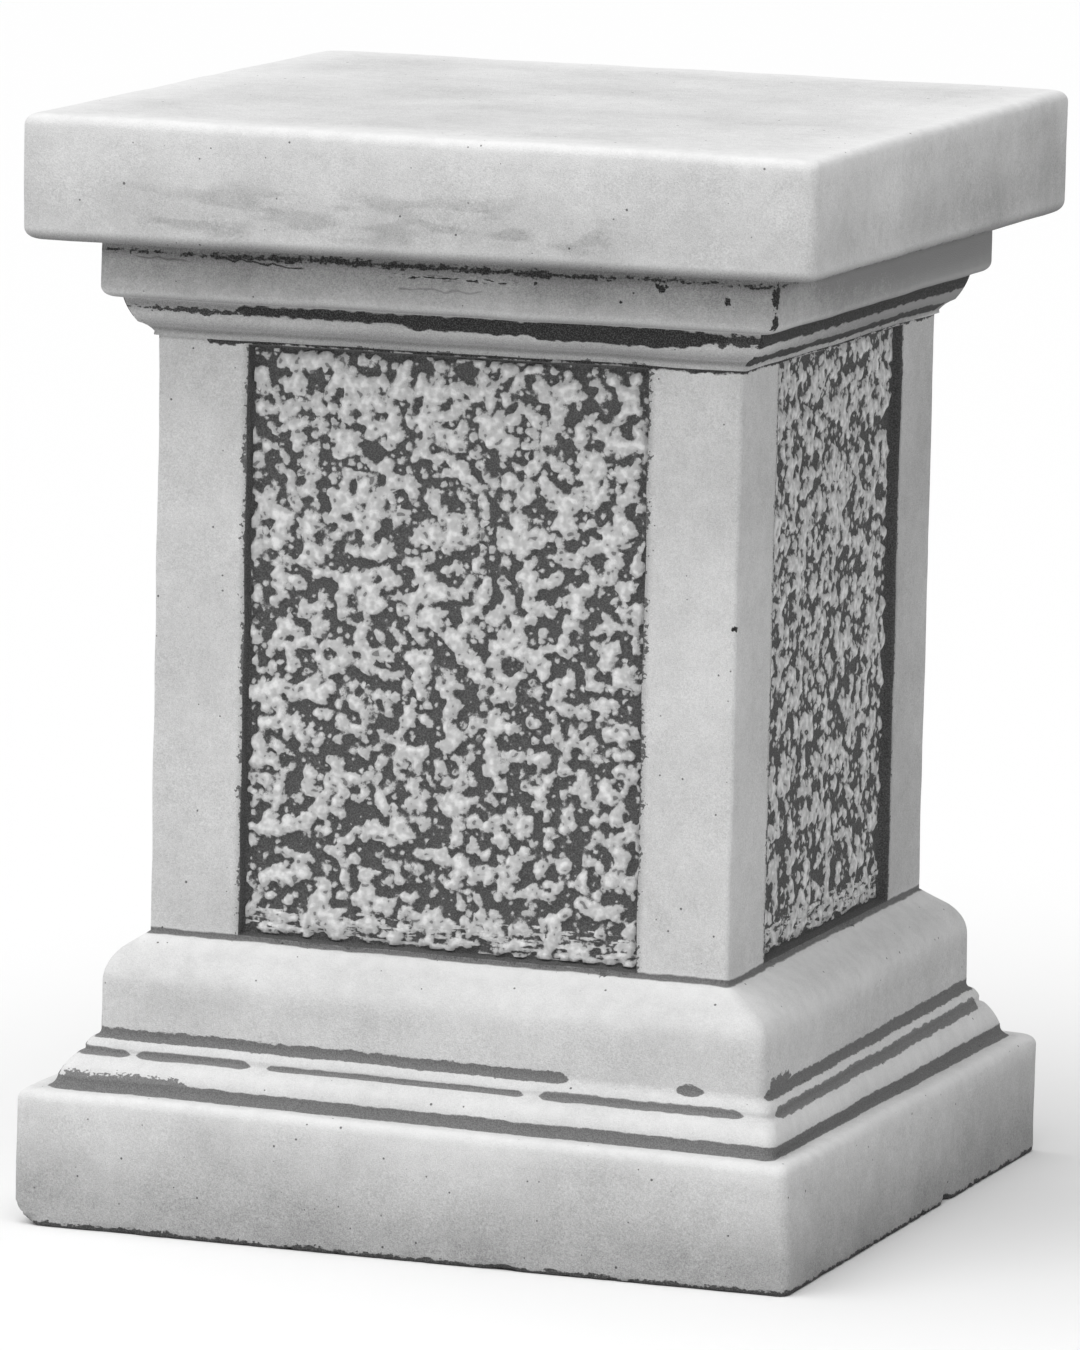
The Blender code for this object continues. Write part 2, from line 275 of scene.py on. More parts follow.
# Lean: at each level, how far its corners stand to the right of their nominal places, in the same
# order. The shoulder's near corner is cast further out than the others.
LEAN = (
    (0.0200, (0.0000, 0.0000, 0.0000, 0.0000)),
    (0.0470, (0.0000, -0.0011, 0.0000, 0.0000)),
    (0.0500, (0.0000, 0.0008, 0.0000, 0.0000)),
    (0.0590, (0.0006, 0.0032, 0.0008, 0.0006)),
    (0.0685, (0.0011, 0.0040, 0.0012, 0.0011)),
    (0.0920, (0.0011, 0.0040, 0.0012, 0.0011)),
    (0.1038, (0.0000, 0.0000, 0.0000, 0.0000)),
)
# How far the slump and lean go on growing past the shaft's corners, as a share of its width
PAST_CORNERS = 0.2


def columns_round_square():
    """Face, share of its straight side, or None on a corner, and corner angle of every fine column."""
    columns = []
    for face, panel_half in enumerate(PANEL_HALVES):
        strip = [-SHAFT_SIDE + (SHAFT_SIDE - panel_half) * i / STRIP_COLUMNS for i in range(STRIP_COLUMNS)]
        panel = across_panel(-panel_half, panel_half, PANEL_STEPS[face])
        for along in strip + panel + [-a for a in reversed(strip)]:
            columns.append((face, along / SHAFT_SIDE, 0.0))
        for segment in range(1, CORNER_SEGMENTS):
            columns.append((face, None, math.pi / 2 * segment / CORNER_SEGMENTS))
    return columns


def coarse_choice(columns):
    """Indices of the columns that also cross the mouldings: the corners, and every few millimetres."""
    chosen = []
    last_face, last_share = None, None
    for index, (face, share, _) in enumerate(columns):
        new_face = face != last_face
        far_enough = share is not None and not new_face and share - last_share > COARSE_STEP / SHAFT_HALF
        near_end = share is not None and 1 - share < 0.6 * COARSE_STEP / SHAFT_HALF and share < 1
        if share is None or new_face or share == 1 or (far_enough and not near_end):
            chosen.append(index)
            if share is not None:
                last_face, last_share = face, share
    return chosen


def ring(half, level, columns):
    """Points of one ring, and the directions that its faces look in."""
    corner = min(np.interp(level, *zip(*CORNER_ROUNDINGS)), half / 3)
    points, outward = [], []
    for face, share, angle in columns:
        if share is None:
            out_local = (math.sin(angle), math.cos(angle))
            local = [half - corner + corner * c for c in out_local]
        else:
            out_local = (0.0, 1.0)
            local = (share * (half - corner), half)
        turn = math.pi / 2 * face
        for vectors, (along, out), height in ((points, local, level), (outward, out_local, 0.0)):
            x = along * math.cos(turn) + out * math.sin(turn)
            y = along * math.sin(turn) - out * math.cos(turn)
            vectors.append((x, y, height))
    return points, outward


def inside_panel(level, columns):
    """How far each column lies inside its panel's border at this level, below zero outside."""
    found = []
    for face, share, _ in columns:
        to_side = PANEL_HALVES[face] - abs(share) * SHAFT_SIDE if share is not None else -DEEPEST_INSIDE
        found.append(min(to_side, level - panel_foot, panel_head - level, DEEPEST_INSIDE))
    return np.maximum(found, -DEEPEST_INSIDE)


profile_run = profile.run()
wear_and_highlight_at = [station[2] for station in profile.stations]
faded = []
for at in profile_run:
    nearby = np.linspace(at - WEAR_HIGHLIGHT_FADE, at + WEAR_HIGHLIGHT_FADE, 9)
    faded.append(np.interp(nearby, profile_run, wear_and_highlight_at).mean())
columns = columns_round_square()
coarse = coarse_choice(columns)
coarse_columns = [columns[i] for i in coarse]
points, outwards, insides, runs, wear_and_highlights, faces = [], [], [], [], [], []
previous = None
for (half, level, _, fine), run, wear_and_highlight in zip(profile.stations, profile_run, faded):
    used = columns if fine else coarse_columns
    first = len(points)
    ring_points, ring_outward = ring(half, level, used)
    inside = inside_panel(level, used)
    sunk = np.clip(inside / REVEAL_RUN, 0, 1)
    sunk = PANEL_DEPTH * sunk * sunk * (3 - 2 * sunk)
    points += [np.array(p) - np.array(o) * s for p, o, s in zip(ring_points, ring_outward, sunk)]
    outwards += ring_outward
    insides += list(inside)
    runs += [run] * len(used)
    wear_and_highlights += [wear_and_highlight] * len(used)
    if previous is not None:
        below, below_fine, _ = previous
        count = len(used)
        if below_fine == fine:
            for i in range(count):
                j = (i + 1) % count
                faces.append((below + i, below + j, first + j, first + i))
        else:
            # One side of this strip has the fine columns, so its faces have many corners there
            for i in range(len(coarse)):
                start, end = coarse[i], coarse[(i + 1) % len(coarse)]
                fine_count = (end - start) % len(columns)
                many = [(start + k) % len(columns) for k in range(fine_count + 1)]
                pair = (i, (i + 1) % len(coarse))
                lower, upper = (many, pair) if below_fine else (pair, many)
                faces.append([below + k for k in lower] + [first + k for k in reversed(upper)])
    else:
        # The lowest ring is closed with a fan round one middle point
        points.append(np.array([0.0, 0.0, level]))
        outwards.append((0.0, 0.0, 0.0))
        insides.append(-DEEPEST_INSIDE)
        runs.append(run)
        wear_and_highlights.append(wear_and_highlight)
        count = len(used)
        faces += [(first + count, first + (i + 1) % count, first + i) for i in range(count)]
    previous = (first, fine, len(used))
first, _, count = previous
points.append(np.array([0.0, 0.0, TOTAL_HEIGHT]))
outwards.append((0.0, 0.0, 0.0))
insides.append(-DEEPEST_INSIDE)
runs.append(runs[-1])
wear_and_highlights.append(0.0)
faces += [(len(points) - 1, first + i, first + (i + 1) % count) for i in range(count)]

points = np.array(points)
for point in points:
    if point[2] > HIGHEST_CHIP:
        continue
    for face, along, level, radii in CHIPS:
        turn = math.pi / 2 * face
        outward = np.array([math.sin(turn), -math.cos(turn), 0.0])
        beside = np.array([math.cos(turn), math.sin(turn), 0.0])
        jag = 1 + 0.3 * noise.noise(Vector(point * 260)) + 0.2 * noise.noise(Vector(point * 700))
        across = (point @ beside - along) / (radii[0] * jag)
        up = (point[2] - level) / (radii[2] * jag)
        into = (point @ outward - PLINTH_HALF) / radii[1]
        depth = max(0.0, 1 - math.hypot(across, up)) ** 2
        if depth > 0 and into > -depth:
            point -= outward * radii[1] * (into + depth)


def corner_blend(points, table):
    """Values of a table of levels and corner values, blended from corner to corner at each point."""
    levels = [level for level, _ in table]
    corners = [np.interp(points[:, 2], levels, [values[k] for _, values in table]) for k in range(4)]
    to_right = np.clip(points[:, 0] / (2 * SHAFT_HALF) + 0.5, -PAST_CORNERS, 1 + PAST_CORNERS)
    to_back = np.clip(points[:, 1] / (2 * SHAFT_HALF) + 0.5, -PAST_CORNERS, 1 + PAST_CORNERS)
    front = corners[0] * (1 - to_right) + corners[1] * to_right
    back = corners[3] * (1 - to_right) + corners[2] * to_right
    return front * (1 - to_back) + back * to_back


leaning, slumped = corner_blend(points, LEAN), corner_blend(points, SLUMP)
points[:, 0] += leaning
points[:, 2] += slumped

skin = bpy.data.meshes.new("pedestal_skin")
skin.from_pydata([tuple(p) for p in points], [], faces)
for name, values in (("run", runs), ("wear_and_highlight", wear_and_highlights), ("inside", insides)):
    skin.attributes.new(name, "FLOAT", "POINT").data.foreach_set("value", np.array(values, np.float32))
skin.attributes.new("outward", "FLOAT_VECTOR", "POINT").data.foreach_set(
    "vector", np.array(outwards, np.float32).ravel()
)
pedestal = bpy.data.objects.new("pedestal_casting", skin)
bpy.context.scene.collection.objects.link(pedestal)

# Hand-made relief: geometry nodes lay the thrown mortar on the panels' sunk ground, make every
# face and arris a little wavy, and nibble the plinth's foot. The stone's material reads the same
# mortar from the same function, so that the pale lumps and the dark ground match the relief.
# Height of the mortar at the front and back, and its share of that at the sides
RELIEF_HEIGHT = 0.0019
SIDE_RELIEF_SHARE = 0.45
WAVINESS = 0.0007
WAVE_LENGTH = 0.0380
# The waves die away down to the ground from this level, so that the foot stands flat
STILL_FOOT = 0.0120
# The nibbling of the foot: its depth, the size of its bites, and the levels where it ends and is full
FOOT_RAGGEDNESS = 0.0016
NIBBLE_SIZE = 0.0042
NIBBLE_LEVELS = (0.0045, 0.0002)
# The mortar's own sizes are in millimetres. Its lumps are rounded over LUMP_ROUNDING from their rims.
LUMP_ROUNDING = 1.7
# Drops, large and small: kind of pattern, distance between them, and least and greatest radius
LARGE_DROPS = ("SMOOTH_F1", 5.0, 1.30, 2.85)
SMALL_DROPS = ("F1", 3.2, -0.80, 1.60)
# Size of each kind of unevenness, and how far it moves the mortar's rims
CLUMPS = (12.0, 5.0)
STRANDS = (6.0, 5.0)
STIRRING = (3.0, 1.2)
RAGGED_RIMS = (1.2, 0.7)
BARE_BORDER = (5.0, 6.0)
# The mortar thickens up the panel by this much per millimetre from its middle level
THICKER_UPWARDS = 0.0030
PANEL_MIDDLE = 190.0
# A sideways smear of mortar fills the panel below these two levels
SMEAR_LEVELS = (114.0, 124.0)
SMEAR_COARSE = 9.0
SMEAR_FINE = (2.0, 2.5)


class Wire:
    """A socket in a node tree. Operators on wires make Math nodes, and node() makes any other."""

    def __init__(self, tree, socket=None):
        self.tree, self.socket = tree, socket

    def node(self, kind, settings=None, inputs=None, output=0):
        """Sets the settings first. Output may be one name or number, or several for several wires."""
        made = self.tree.nodes.new(kind)
        for name, value in (settings or {}).items():
            setattr(made, name, value)
        for key, value in (inputs or {}).items():
            if isinstance(value, Wire):
                self.tree.links.new(value.socket, made.inputs[key])
            else:
                made.inputs[key].default_value = value
        if isinstance(output, tuple):
            return [Wire(self.tree, made.outputs[key]) for key in output]
        return Wire(self.tree, made.outputs[output])

    def math(self, operation, *others):
        return self.node("ShaderNodeMath", {"operation": operation}, dict(enumerate((self, *others))))

    def __add__(self, other):
        return self.math("ADD", other)

    def __radd__(self, other):
        return self.math("ADD", other)

    def __mul__(self, other):
        return self.math("MULTIPLY", other)

    def __rmul__(self, other):
        return self.math("MULTIPLY", other)

    def __sub__(self, other):
        return self.math("SUBTRACT", other)

    def __rsub__(self, other):
        return self.node("ShaderNodeMath", {"operation": "SUBTRACT"}, {0: other, 1: self})

    def __truediv__(self, other):
        return self.math("DIVIDE", other)

    def __rtruediv__(self, other):
        return self.node("ShaderNodeMath", {"operation": "DIVIDE"}, {0: other, 1: self})

    def __abs__(self):
        return self.math("ABSOLUTE")

    def ramp(self, low, high, start=0.0, end=1.0):
        """A smooth step from start to end as this wire goes from low to high."""
        return self.node(
            "ShaderNodeMapRange", {"interpolation_type": "SMOOTHSTEP"},
            {"Value": self, "From Min": low, "From Max": high, "To Min": start, "To Max": end},
        )

    def band(self, low, full, leaving, high):
        """One between the middle two values, and a smooth step down to zero outside them."""
        return self.ramp(low, full) * self.ramp(leaving, high, 1.0, 0.0)

    def parts(self):
        return self.node("ShaderNodeSeparateXYZ", inputs={0: self}, output=(0, 1, 2))

    def joined(self, *others):
        return self.node("ShaderNodeCombineXYZ", inputs=dict(enumerate((self, *others))))

    def grain(self, size, detail=2.0, output=0, dimensions="3D"):
        """Noise with features of that size, about 0.5 on average."""
        return self.node(
            "ShaderNodeTexNoise", {"noise_dimensions": dimensions},
            {"Vector": self, "Scale": 1 / size, "Detail": detail}, output,
        )

    def uneven(self, size, amount, detail=1.0):
        """Flat noise with features of that size, about zero on average."""
        return (self.grain(size, detail, dimensions="2D") - 0.5) * amount

    def vector(self, operation, other):
        return self.node("ShaderNodeVectorMath", {"operation": operation}, {0: self, 1: other})

    def scaled(self, factor):
        return self.node("ShaderNodeVectorMath", {"operation": "SCALE"}, {0: self, "Scale": factor})

    def stirred(self, size, amount, detail=1.0):
        """This place, moved about by noise of that size."""
        shift = self.grain(size, detail, output="Color", dimensions="2D")
        shift = shift.vector("SUBTRACT", (0.5, 0.5, 0.5)).vector("MULTIPLY", (amount, amount, 0.0))
        return self.vector("ADD", shift)


def face_places(position):
    """Millimetres along this face and up it, if it is the front or back, and if the back or right."""
    x, y, z = position.parts()
    front_or_back = abs(y).math("GREATER_THAN", abs(x))
    along = y + (x - y) * front_or_back
    return along * 1000, z * 1000, front_or_back, (x + y).math("GREATER_THAN", 0.0)


def drops(place, feature, spacing, least, greatest):
    """Millimetres inside the nearest drop of this size."""
    distance, chance = place.node(
        "ShaderNodeTexVoronoi", {"voronoi_dimensions": "2D", "feature": feature},
        {"Vector": place, "Scale": 1 / spacing}, output=("Distance", "Color"),
    )
    return chance.parts()[0] * (greatest - least) + least - distance * spacing


def roughcast(position, inside):
    """Thickness of the thrown mortar at its rim in millimetres, below zero where the ground shows."""
    along, level, front_or_back, far_side = face_places(position)
    # The four faces read places far apart in the pattern, so that no two are alike
    place = (along + front_or_back * 517.0).joined(level + far_side * 311.0, 0.0)
    clumps = place.uneven(*CLUMPS, 1.5) + (level - PANEL_MIDDLE) * THICKER_UPWARDS
    stirred = place.stirred(*STIRRING)
    large = drops(stirred, *LARGE_DROPS) + clumps + stirred.uneven(*STRANDS)
    field = large.math("SMOOTH_MAX", drops(stirred, *SMALL_DROPS) + clumps * 0.5, 0.8)
    streak_place = (along * 0.09 + front_or_back * 57.0).joined(level * 0.50 + far_side * 31.0, 0.0)
    streaks = (streak_place.grain(1.0, 2.0, dimensions="2D") - 0.47) * SMEAR_COARSE
    smear = streaks + place.uneven(*SMEAR_FINE) - level.ramp(*SMEAR_LEVELS, 0.0, SMEAR_COARSE)
    field = field.math("SMOOTH_MAX", smear, 0.4)
    border = (inside * 1000 + place.uneven(*BARE_BORDER, 0.0)).ramp(0.2, 2.2, 3.0, 0.0)
    on_reveal = inside.ramp(0.0008, 0.0014, 9.0, 0.0)
    return field + place.uneven(*RAGGED_RIMS) - border - on_reveal


relief = bpy.data.node_groups.new("hand_cast_relief", "GeometryNodeTree")
relief.interface.new_socket("Geometry", in_out="INPUT", socket_type="NodeSocketGeometry")
relief.interface.new_socket("Geometry", in_out="OUTPUT", socket_type="NodeSocketGeometry")
relief_values = {
    "Relief height": RELIEF_HEIGHT, "Waviness": WAVINESS, "Wave length": WAVE_LENGTH,
    "Foot raggedness": FOOT_RAGGEDNESS,
}
for name in relief_values:
    relief.interface.new_socket(name, in_out="INPUT", socket_type="NodeSocketFloat")
for name in ("Stone", "Roughcast"):
    relief.interface.new_socket(name, in_out="INPUT", socket_type="NodeSocketMaterial")
start = Wire(relief)
geometry, height, waviness, wave_length, foot_raggedness, stone_input, roughcast_input = start.node(
    "NodeGroupInput", output=("Geometry", *relief_values, "Stone", "Roughcast")
)


def stored(name, data_type="FLOAT"):
    settings = {"data_type": data_type}
    return start.node("GeometryNodeInputNamedAttribute", settings, {"Name": name}, "Attribute")


outward = stored("outward", "FLOAT_VECTOR")
inside_border = stored("inside")
position = start.node("GeometryNodeInputPosition")
level = position.parts()[2]
waves = position.grain(wave_length, 1.5, output="Color").vector("SUBTRACT", (0.5, 0.5, 0.5))
waves = waves.scaled(waviness * 2).scaled(level.ramp(0.0, STILL_FOOT))
nibble = position.grain(NIBBLE_SIZE, 3.0).ramp(0.50, 0.72) * level.ramp(*NIBBLE_LEVELS) * foot_raggedness
moved = waves.vector("ADD", outward.scaled(nibble * -1))
geometry = start.node("GeometryNodeSetPosition", inputs={"Geometry": geometry, "Offset": moved})
# The mortar rises from its rims in domes, and thins out where the panel's edge stands
mortar = roughcast(position, inside_border)
spread = mortar / LUMP_ROUNDING
spread = spread.node("ShaderNodeClamp", inputs={"Value": spread})
front_or_back = face_places(position)[2]
dome = spread * (2 - spread) * inside_border.ramp(0.0004, 0.0016) * height
dome = dome * (front_or_back * (1 - SIDE_RELIEF_SHARE) + SIDE_RELIEF_SHARE)
raised = outward.scaled(dome)
geometry = start.node("GeometryNodeSetPosition", inputs={"Geometry": geometry, "Offset": raised})
geometry = start.node("GeometryNodeRealizeInstances", inputs={"Geometry": geometry})
geometry = start.node("GeometryNodeSetMaterial", inputs={"Geometry": geometry, "Material": stone_input})
geometry = start.node(
    "GeometryNodeSetMaterial",
    inputs={
        "Geometry": geometry, "Material": roughcast_input,
        "Selection": inside_border.math("GREATER_THAN", 0.0),
    },
)
start.node("NodeGroupOutput", inputs={"Geometry": geometry}, output=())

# Stone: pale grey cement, dry and matt, with fine sand, pinholes and soft clouds, and painted shade where
# the slab shelters it and near the ground. Dark patina and soft bands of painted shade lie along the
# mouldings, placed by their distance up the profile and along each face, and the arrises between are rubbed
# pale and carry a painted highlight.
PALE_STONE = (0.740, 0.740, 0.740, 1.0)
DULL_STONE = (0.250, 0.250, 0.250, 1.0)
WORN_HIGHLIGHT_STONE = (0.820, 0.820, 0.820, 1.0)
GROOVE_PATINA_AND_SHADE = (0.095, 0.095, 0.095, 1.0)
GROOVE_PATINA_AND_SHADE_PALE = (0.170, 0.170, 0.170, 1.0)
DEEP_PATINA_AND_SHADOW = (0.020, 0.020, 0.020, 1.0)
DEEP_PATINA_AND_SHADOW_PALE = (0.075, 0.075, 0.075, 1.0)
PALENESS = 0.73
STONE_ROUGHNESS = 0.90
STONE_SPECULAR = 0.25
# How unevenly pale the stone is: in clouds, in blotches, in its grain and in its sand
CLOUDY, BLOTCHY, GRAINY, SANDY = 0.55, 0.22, 0.34, 0.50
# Painted shade by level, near the ground and from the cap up under the slab: two levels in millimetres,
# and how much darker the stone is painted below the first and above the second. They add up.
PAINTED_SHADE_STEPS = (
    (4, 44, 0.45, 0.0),
    (320.0, 321.2, 0.0, 0.36),
    (322.5, 326, 0.0, -0.02),
    (341, 354, 0.0, 0.28),
    (357, 362, 0.0, -0.46),
    (366, 390, 0.0, -0.22),
)
# The right face is darker towards its back, and between the shaft and the slab it also has painted
# shade that deepens towards its back
RIGHT_SIDE_LEVELS = (50.0, 130.0, 398.0, 401.0)
RIGHT_CAP_SHADE_LEVELS = (322.0, 328.0, 356.0, 359.0)
# Cloudy stains on the front of the slab: where they fade in and out, up it and along it
STAIN_LEVELS = (360.0, 366.0, 376.0, 386.0)
STAIN_SPAN = (-125.0, -95.0, 60.0, 90.0)
STAIN_STRENGTH = 0.22
ALL_ALONG = ((-160, 160),)
# Patina lines and soft bands of painted shade: mark on the profile, offset up the profile and half width,
# how wavy, speckled and soft the edges are, all in millimetres; how dark; whether it is the deep black
# kind; and the stretches along the front and along the right face
PATINA_AND_SHADE_LINES = (
    # Dark patina along the foot, with painted shadow where the foot meets the floor
    ("foot", -0.8, 1.3, 1.6, 2.0, 0.3, 0.90, True, ALL_ALONG, ALL_ALONG),
    ("groove_3", 0.0, 2.8, 0.6, 0.5, 0.3, 0.90, False, ALL_ALONG, ALL_ALONG),
    ("groove_3", 2.4, 2.6, 1.4, 4.0, 0.3, 0.85, False, ((-136, -84),), ()),
    ("groove_2", 0.0, 2.0, 0.5, 0.3, 0.3, 0.85, False, ((-137, -108.5), (-108.5, -62)), ()),
    ("groove_2", 0.0, 1.3, 0.5, 0.3, 0.3, 0.85, False, ((-58, 42),), ()),
    ("groove_2", 0.2, 2.1, 0.7, 0.5, 0.3, 0.85, False, ((46, 125),), ()),
    ("groove_2", 0.0, 2.6, 1.0, 0.6, 0.3, 0.85, False, (), ((-123, 123),)),
    ("groove_1", 0.5, 2.4, 0.8, 1.2, 0.3, 0.90, False, ((-160, 58), (96, 109)), ((-124, 160),)),
    ("groove_1", 3.6, 2.6, 2.4, 2.4, 0.3, 0.90, False, (), ((-119, -92),)),
    ("shaft_foot", 0.2, 1.3, 0.7, 0.2, 0.4, 0.90, False, ALL_ALONG, ALL_ALONG),
    ("cap_foot", -0.3, 0.9, 1.6, 1.2, 0.3, 0.95, True, ((-92, 116),), ALL_ALONG),
    # Two soft bands of painted shade in the cap's hollow and under the ovolo
    ("cap_hollow", -0.9, 1.7, 0.5, 0.3, 1.4, 0.70, False, ALL_ALONG, ALL_ALONG),
    ("cap_hollow", 1.2, 3.4, 0.5, 0.3, 2.6, 0.50, False, ALL_ALONG, ALL_ALONG),
    ("cap_hollow", 0.5, 3.0, 1.6, 0.8, 0.3, 1.00, True, (), ((-140, 108),)),
    # A soft band of painted shade on the ovolo's top, under the fascia
    ("ovolo_top", -1.5, 2.4, 0.8, 0.8, 2.0, 0.60, False, ALL_ALONG, ALL_ALONG),
    ("ovolo_top", -3.6, 0.35, 3.0, 2.5, 0.3, 0.95, True, ((-124, -66),), ()),
    ("ovolo_top", -2.3, 2.0, 1.4, 1.0, 0.35, 1.00, True, ((-78, 110),), ()),
    ("ovolo_top", -3.0, 3.0, 1.4, 0.9, 0.35, 1.00, True, ((-16, 104),), ()),
    ("ovolo_top", -3.5, 3.9, 1.6, 0.9, 0.35, 1.00, True, ((31, 98),), ()),
    ("ovolo_top", -2.8, 1.9, 3.0, 2.5, 0.3, 0.95, True, ((90, 140),), ()),
    ("ovolo_top", -2.2, 3.2, 1.4, 0.7, 0.35, 1.00, True, (), ((-140, 130),)),
    # Soft painted shade on the fascia's rounded foot and on the fascia just under the slab
    ("fascia_foot", 0.4, 1.6, 0.4, 0.2, 1.8, 0.60, False, ALL_ALONG, ALL_ALONG),
    ("soffit", -3.0, 2.4, 0.4, 0.3, 2.4, 0.70, False, ALL_ALONG, ALL_ALONG),
    ("soffit", -3.7, 0.3, 1.2, 2.6, 0.4, 1.00, True, ((-140, 140),), ((-140, 84),)),
    ("soffit", -3.7, 0.9, 1.4, 2.8, 0.5, 1.00, True, ((-86, 46),), ()),
    ("slab_foot", -1.3, 0.2, 1.0, 2.6, 0.3, 0.90, True, (), ((-128, 84),)),
    # Soft painted shade on the slab's rounded foot where it turns under
    ("slab_foot", -3.0, 4.0, 0.6, 0.3, 2.8, 0.75, False, ALL_ALONG, ALL_ALONG),
)
# Dark spots: middle and radii, in millimetres
SPOTS = (
    ((85.7, -127.6, 351.4), (2.3, 3.0, 1.8)),
    ((110.2, -127.6, 347.9), (1.2, 3.0, 1.6)),
    ((127.4, -124.8, 350.0), (2.5, 2.5, 5.0)),
    ((127.2, -125.2, 341.0), (2.2, 2.2, 3.6)),
    ((110.4, -110.7, 230.0), (2.0, 2.0, 1.0)),
    ((38.7, -127.6, 350.1), (0.8, 1.0, 0.7)),
    ((70.6, -127.6, 345.6), (0.8, 1.0, 0.7)),
    ((125.5, 13.5, 85.5), (2.0, 2.2, 0.9)),
)
# Cracks along the front of the fascia: both ends, across and up, in millimetres, and how dark
CRACK_HALF_WIDTH = 0.42
CRACKS = (
    (-84.0, 352.4, -48.0, 350.2, 1.0),
    (-114.0, 351.8, -92.0, 350.6, 0.5),
    (-14.0, 345.6, 20.0, 346.2, 0.35),
)
# A row of dark dashes further along the fascia
DASH_LEVELS = (348.6, 349.6, 350.2, 351.2)
DASH_SPAN = (-24.0, 34.0)
# Pinholes: distance between them, largest radius, and the share of places without one
PINHOLE_SPACING = 4.2
PINHOLE_RADIUS = 0.60
PINHOLES_MISSING = 0.45


def make_stone(name):
    """A matt stone material, its shader, and wires for its tree, its place, and that in millimetres."""
    material = bpy.data.materials.new(name)
    material.use_nodes = True
    shader = material.node_tree.nodes["Principled BSDF"]
    shader.inputs["Roughness"].default_value = STONE_ROUGHNESS
    shader.inputs["Specular IOR Level"].default_value = STONE_SPECULAR
    start = Wire(material.node_tree)
    position = start.node("ShaderNodeTexCoord", output="Object")
    return material, shader, start, position, position.scaled(1000.0)


def mixed(factor, first, second):
    """The first colour where the factor is zero, and the second where it is one."""
    return factor.node("ShaderNodeMix", {"data_type": "RGBA"}, {"Factor": factor, 6: first, 7: second}, 2)


def attribute(start, name):
    return start.node("ShaderNodeAttribute", {"attribute_name": name}, output="Fac")


def finish_stone(shader, colour, bump_height):
    """Links the colour and a bump whose height is in millimetres."""
    bump_inputs = {"Height": bump_height, "Strength": 1.0, "Distance": 0.001}
    bump = bump_height.node("ShaderNodeBump", inputs=bump_inputs)
    colour.tree.links.new(colour.socket, shader.inputs["Base Color"])
    colour.tree.links.new(bump.socket, shader.inputs["Normal"])


def reach_along(where, spans):
    """Millimetres to the nearest end of these stretches, above zero inside one and below outside."""
    found = None
    for start_mm, end_mm in spans:
        reach = (end_mm - start_mm) / 2 - abs(where - (start_mm + end_mm) / 2)
        found = reach if found is None else found.math("MAXIMUM", reach)
    return -9.0 if found is None else found


stone, shader, start, position, millimetres = make_stone("cast_stone")
x, y, z = millimetres.parts()
front_or_back = face_places(position)[2]
on_front = front_or_back * y.math("LESS_THAN", 0.0)
on_right = (1 - front_or_back) * x.math("GREATER_THAN", 0.0)
hidden = 1 - on_front - on_right
run = attribute(start, "run")
wear_and_highlight = attribute(start, "wear_and_highlight")
coarse_grain = millimetres.grain(6.0, 1.0)
fine_grain = millimetres.grain(1.2, 1.0)
sand = millimetres.grain(0.45, 0.0)
clouds = millimetres.grain(48.0, 2.0)
dashed = millimetres.vector("MULTIPLY", (0.34, 0.34, 1.2)).grain(1.0, 1.0)
streaky = millimetres.vector("MULTIPLY", (0.045, 0.045, 0.20)).grain(1.0, 1.0)

run_mm = run * 1000
wave = coarse_grain * 2 - 1
speckle = dashed + fine_grain - 1
dirt_and_shade = {False: None, True: None}
reaches = {}
# Each line lays dark patina along its mark; the soft bands lay painted shade
for name, offset, half_width, wavy, speckled, soft, darkness, deep, front_spans, right_spans in PATINA_AND_SHADE_LINES:
    centre = profile_run[profile.marks[name]] * 1000 + offset
    line = half_width - abs(run_mm - centre) + wave * wavy + speckle * speckled
    spans = (front_spans, right_spans)
    if spans != (ALL_ALONG, ALL_ALONG):
        if spans not in reaches:
            # On the hidden sides the clouds say where a line breaks off
            on_hidden_sides = hidden * (clouds - 0.40) * 90
            along_spans = on_front * reach_along(x, front_spans) + on_right * reach_along(y, right_spans)
            reaches[spans] = along_spans + on_hidden_sides
        shortfall = (1 - reaches[spans] / max(2.0, 2.5 * half_width)).math("MAXIMUM", 0.0)
        line = line - shortfall * shortfall * (half_width + 1)
    line = line.ramp(-soft, soft, 0.0, darkness)
    dirt_and_shade[deep] = line if dirt_and_shade[deep] is None else dirt_and_shade[deep].math("MAXIMUM", line)
groove_dirt_and_shade, deep_dirt_and_shadow = dirt_and_shade[False], dirt_and_shade[True]

inside_border = attribute(start, "inside") * 1000
panel_edge = inside_border + 0.2 + (coarse_grain - 0.5) * 7.0 + (fine_grain - 0.5) * 6.0
groove_dirt_and_shade = groove_dirt_and_shade.math("MAXIMUM", panel_edge.ramp(-0.3, 0.3))

specks = None
frayed = fine_grain * 1.8 + 0.1
for middle, radii in SPOTS:
    away = millimetres.vector("SUBTRACT", middle).vector("DIVIDE", radii)
    away = away.node("ShaderNodeVectorMath", {"operation": "LENGTH"}, {0: away}, output="Value")
    spot = (frayed - away).ramp(0.0, 0.25)
    specks = spot if specks is None else specks.math("MAXIMUM", spot)
for left, left_level, right, right_level, darkness in CRACKS:
    climb = (right_level - left_level) / (right - left)
    line = z - (x - left) * climb - left_level + (coarse_grain - 0.5) * 4.0
    crack = (CRACK_HALF_WIDTH - abs(line) + (sand - 0.5) * 0.8).ramp(0.0, 0.2) * darkness
    specks = specks.math("MAXIMUM", crack * on_front * reach_along(x, ((left, right),)).ramp(0.0, 2.0))
dashes = dashed.ramp(0.54, 0.60) * z.band(*DASH_LEVELS) * reach_along(x, (DASH_SPAN,)).ramp(0.0, 6.0)
